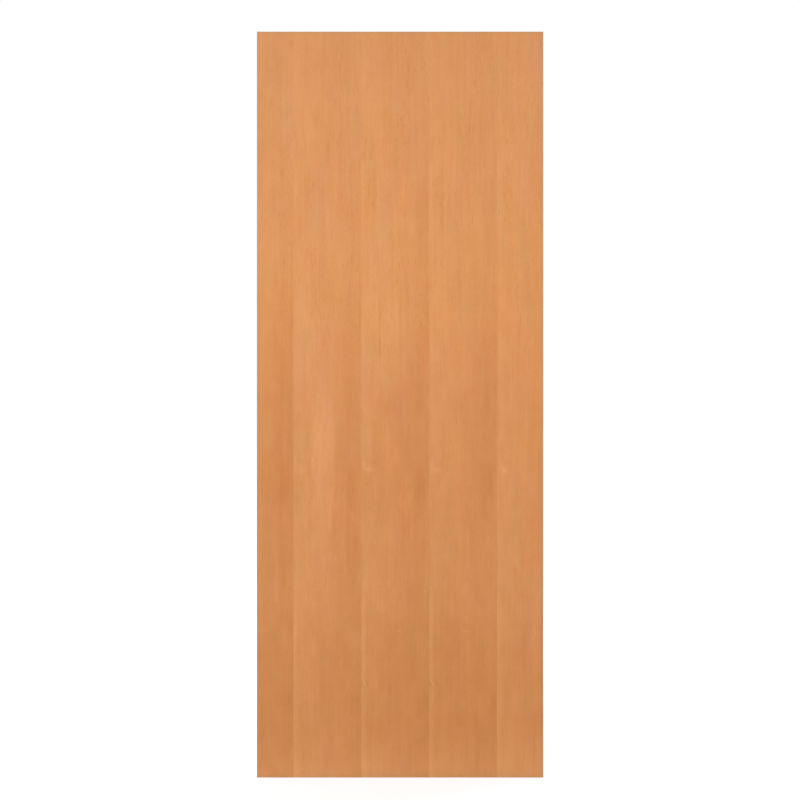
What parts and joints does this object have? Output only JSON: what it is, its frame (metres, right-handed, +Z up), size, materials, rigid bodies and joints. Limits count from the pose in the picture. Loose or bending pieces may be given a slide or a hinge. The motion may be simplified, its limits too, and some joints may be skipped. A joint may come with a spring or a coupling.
{
  "type": "batten core flush door leaf",
  "caption": "Plain flush door leaf with slip-matched wood veneer faces on plywood skins over a softwood frame with a batten core, unhung and undrilled.",
  "frame": {"origin": "foot of the hinge edge, at the middle of the leaf's thickness, on the hinge edge's flat face", "axes": "+X across the leaf from the hinge edge to the lock edge, -Y is the front face, +Z up the leaf"},
  "size_m": [0.76, 0.038, 1.98],
  "materials": {
    "face_veneer": "satin",
    "skin_plywood": "matte",
    "lipping_timber": "satin",
    "frame_softwood": "matte",
    "core_softwood": "matte"
  },
  "bodies": {
    "root": {"back_plywood_skin": "skin_plywood", "back_veneer_leaf_1": "face_veneer", "back_veneer_leaf_2": "face_veneer", "back_veneer_leaf_3": "face_veneer", "back_veneer_leaf_4": "face_veneer", "back_veneer_leaf_5": "face_veneer", "bottom_rail": "frame_softwood", "core_batten_01": "core_softwood", "core_batten_02": "core_softwood", "core_batten_03": "core_softwood", "core_batten_04": "core_softwood", "core_batten_05": "core_softwood", "core_batten_06": "core_softwood", "core_batten_07": "core_softwood", "core_batten_08": "core_softwood", "core_batten_09": "core_softwood", "core_batten_10": "core_softwood", "core_batten_11": "core_softwood", "core_batten_12": "core_softwood", "core_batten_13": "core_softwood", "core_batten_14": "core_softwood", "core_batten_15": "core_softwood", "core_batten_16": "core_softwood", "core_batten_17": "core_softwood", "front_plywood_skin": "skin_plywood", "front_veneer_leaf_1": "face_veneer", "front_veneer_leaf_2": "face_veneer", "front_veneer_leaf_3": "face_veneer", "front_veneer_leaf_4": "face_veneer", "front_veneer_leaf_5": "face_veneer", "hinge_edge_lipping": "lipping_timber", "hinge_side_lock_block": "core_softwood", "hinge_stile": "frame_softwood", "lock_edge_lipping": "lipping_timber", "lock_side_lock_block": "core_softwood", "lock_stile": "frame_softwood", "top_rail": "frame_softwood"}
  },
  "joints": []
}
